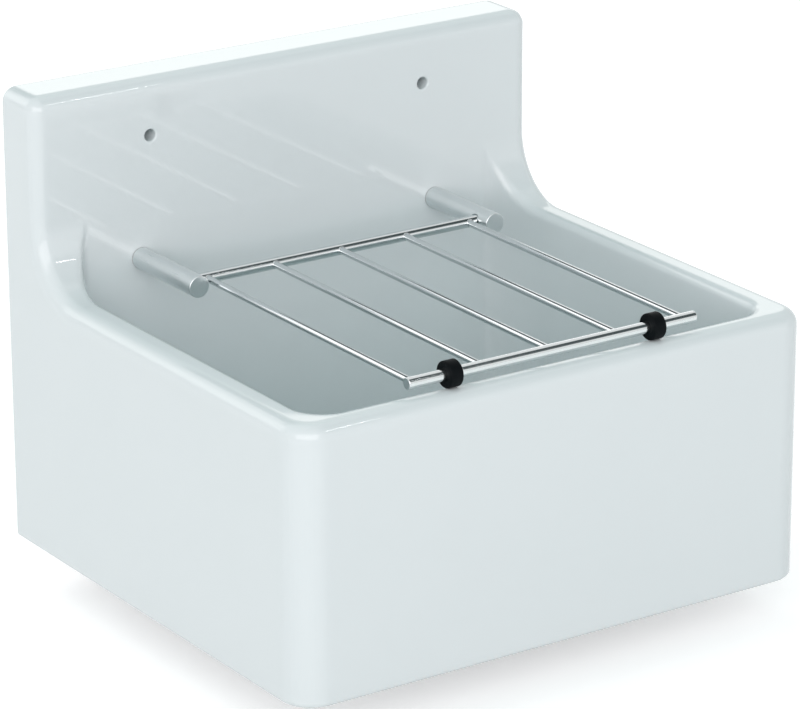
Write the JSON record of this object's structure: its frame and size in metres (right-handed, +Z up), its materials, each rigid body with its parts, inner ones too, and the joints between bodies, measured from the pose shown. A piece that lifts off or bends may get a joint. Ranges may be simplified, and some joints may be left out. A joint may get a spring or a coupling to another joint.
{
  "type": "mop service sink",
  "caption": "Wall-hung glazed ceramic service sink with a deep bowl, raised back and a hinged bucket grating of steel bar that folds up against the wall.",
  "frame": {"origin": "on the wall plane at the back of the sink, in the middle of its width, at the height of the rim's flat top", "axes": "+X along the wall to the right as seen by the user, +Y into the wall, +Z up; the bowl reaches out from the wall along -Y"},
  "size_m": [0.455, 0.411, 0.395],
  "materials": {
    "glazed_ceramic": "white glaze, glossy",
    "satin_steel": "satin",
    "polished_steel": "polished",
    "zinc_steel": "zinc plated",
    "chrome_plate": "polished",
    "black_rubber": "matt, moulded",
    "seal_rubber": "matt",
    "white_seal": "matt sealing compound",
    "washer_plastic": "matt",
    "nut_plastic": "matt, moulded"
  },
  "bodies": {
    "sink": {"sink_body": "glazed_ceramic", "hinge_post_left": "satin_steel", "hinge_post_right": "satin_steel", "post_gasket_left": "seal_rubber", "post_gasket_right": "seal_rubber", "post_stud_left": "zinc_steel", "post_stud_right": "zinc_steel", "back_cushion_left": "seal_rubber", "back_cushion_right": "seal_rubber", "back_washer_left": "zinc_steel", "back_washer_right": "zinc_steel", "back_nut_left": "zinc_steel", "back_nut_right": "zinc_steel", "waste_body": "chrome_plate", "strainer_grid": "polished_steel", "strainer_screw": "polished_steel", "waste_top_seal": "white_seal", "waste_bottom_seal": "seal_rubber", "waste_slip_washer": "washer_plastic", "waste_backnut": "nut_plastic"},
    "grating": {"rear_bar": "polished_steel", "front_bar": "polished_steel", "rod_1": "polished_steel", "rod_2": "polished_steel", "rod_3": "polished_steel", "rod_4": "polished_steel", "rod_5": "polished_steel", "buffer_left": "black_rubber", "buffer_right": "black_rubber"}
  },
  "joints": [
    {"name": "grating_hinge", "type": "hinge", "parent": "sink", "child": "grating", "pos_m": [0, -0.116, 0.0102], "axis": [-1, 0, 0], "range_deg": [0, 112]}
  ]
}
